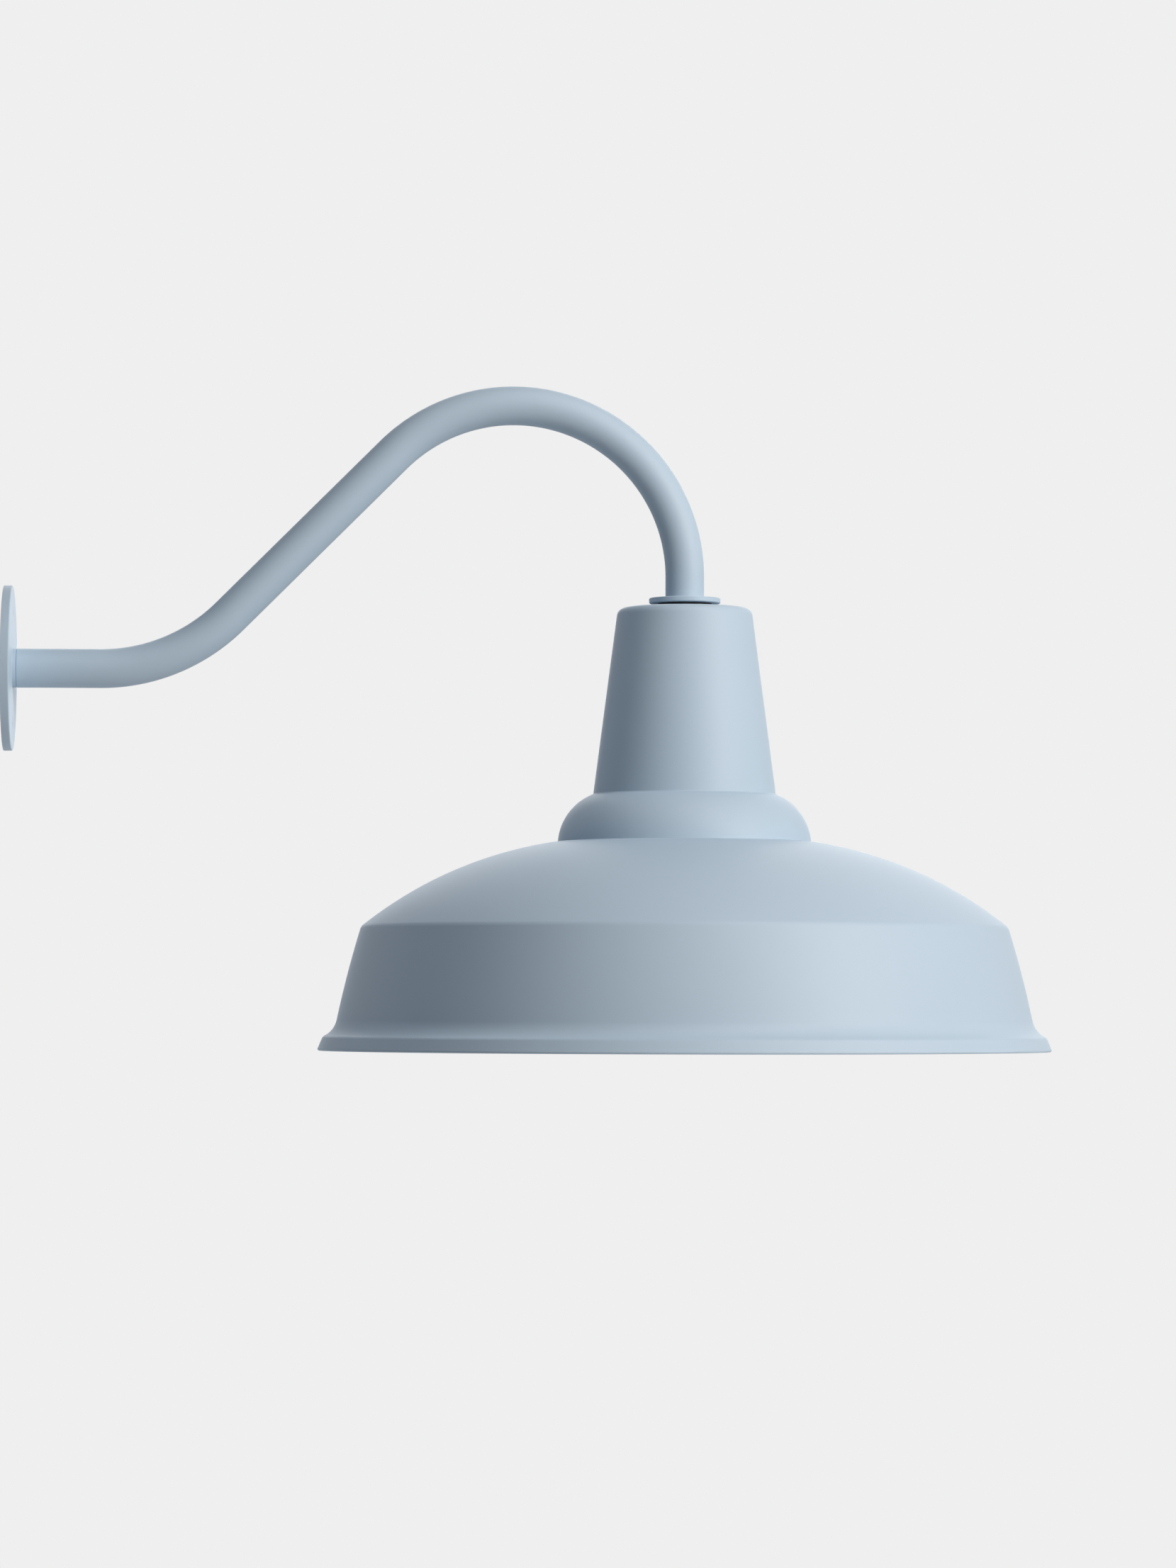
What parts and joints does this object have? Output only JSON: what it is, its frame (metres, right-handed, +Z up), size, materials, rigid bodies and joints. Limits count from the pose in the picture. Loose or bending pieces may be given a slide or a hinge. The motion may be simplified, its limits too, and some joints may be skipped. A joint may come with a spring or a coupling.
{
  "type": "barn light",
  "caption": "Gooseneck wall light with a round wall plate, a bent pipe arm and a spun metal dish shade that turns on its swivel, over a screw-in bulb.",
  "frame": {"origin": "centre of the wall plate's back face, on the wall", "axes": "+X out of the wall along the arm, +Z up, the shade's turning axis parallel to Z"},
  "size_m": [0.7364, 0.5088, 0.4625],
  "materials": {
    "paint": "satin powder coat in powder blue",
    "foam": "closed-cell foam rubber",
    "zinc_steel": "zinc plated",
    "green_steel": "green plated",
    "rubber": "matte",
    "black_plastic": "moulded",
    "black_insulation": "smooth insulation",
    "white_insulation": "smooth insulation",
    "brass": "stamped",
    "porcelain": "glazed",
    "clear_glass": "clear",
    "cap_metal": "nickel plated",
    "dark_glass": "glossy",
    "strip_coating": "phosphor coat"
  },
  "bodies": {
    "arm": {"wall_plate": "paint", "wall_gasket": "foam", "mounting_ring": "zinc_steel", "ground_screw": "green_steel", "plate_screws": "paint", "root_locknut": "zinc_steel", "arm_pipe": "paint", "arm_collar": "paint", "rubber_washer": "rubber", "swivel_nipple": "zinc_steel", "thrust_washer": "zinc_steel", "holder_bracket": "zinc_steel", "nipple_locknut": "zinc_steel", "nipple_bushing": "black_plastic", "line_lead": "black_insulation", "neutral_lead": "white_insulation", "lead_terminals": "brass", "lamp_holder": "porcelain", "bracket_screws": "zinc_steel", "screw_shell": "brass", "centre_contact": "brass"},
    "shade": {"neck": "paint", "shade": "paint", "shade_screws": "zinc_steel", "shade_nuts": "zinc_steel"},
    "bulb_glass": {"bulb_glass": "clear_glass"},
    "bulb_core": {"bulb_cap": "cap_metal", "bulb_insulator": "dark_glass", "bulb_tip": "cap_metal", "bulb_stem": "clear_glass", "bulb_strips": "strip_coating", "bulb_wires": "cap_metal"}
  },
  "joints": [
    {"name": "shade_turn", "type": "hinge", "parent": "arm", "child": "shade", "pos_m": [0.472, 0, 0.0436], "axis": [0, 0, 1], "continuous": true},
    {"name": "bulb_travel", "type": "slide", "parent": "arm", "child": "bulb_glass", "axis": [0, 0, -1], "range_m": [0, 0.01089]},
    {"name": "bulb_turn", "type": "hinge", "parent": "bulb_glass", "child": "bulb_core", "pos_m": [0.472, 0, -0.0661], "axis": [0, 0, -1], "range_deg": [0, 1080]}
  ],
  "couplings": [
    {"joint": "bulb_turn", "follows": "bulb_travel", "rad_per_m": 1730.9}
  ]
}
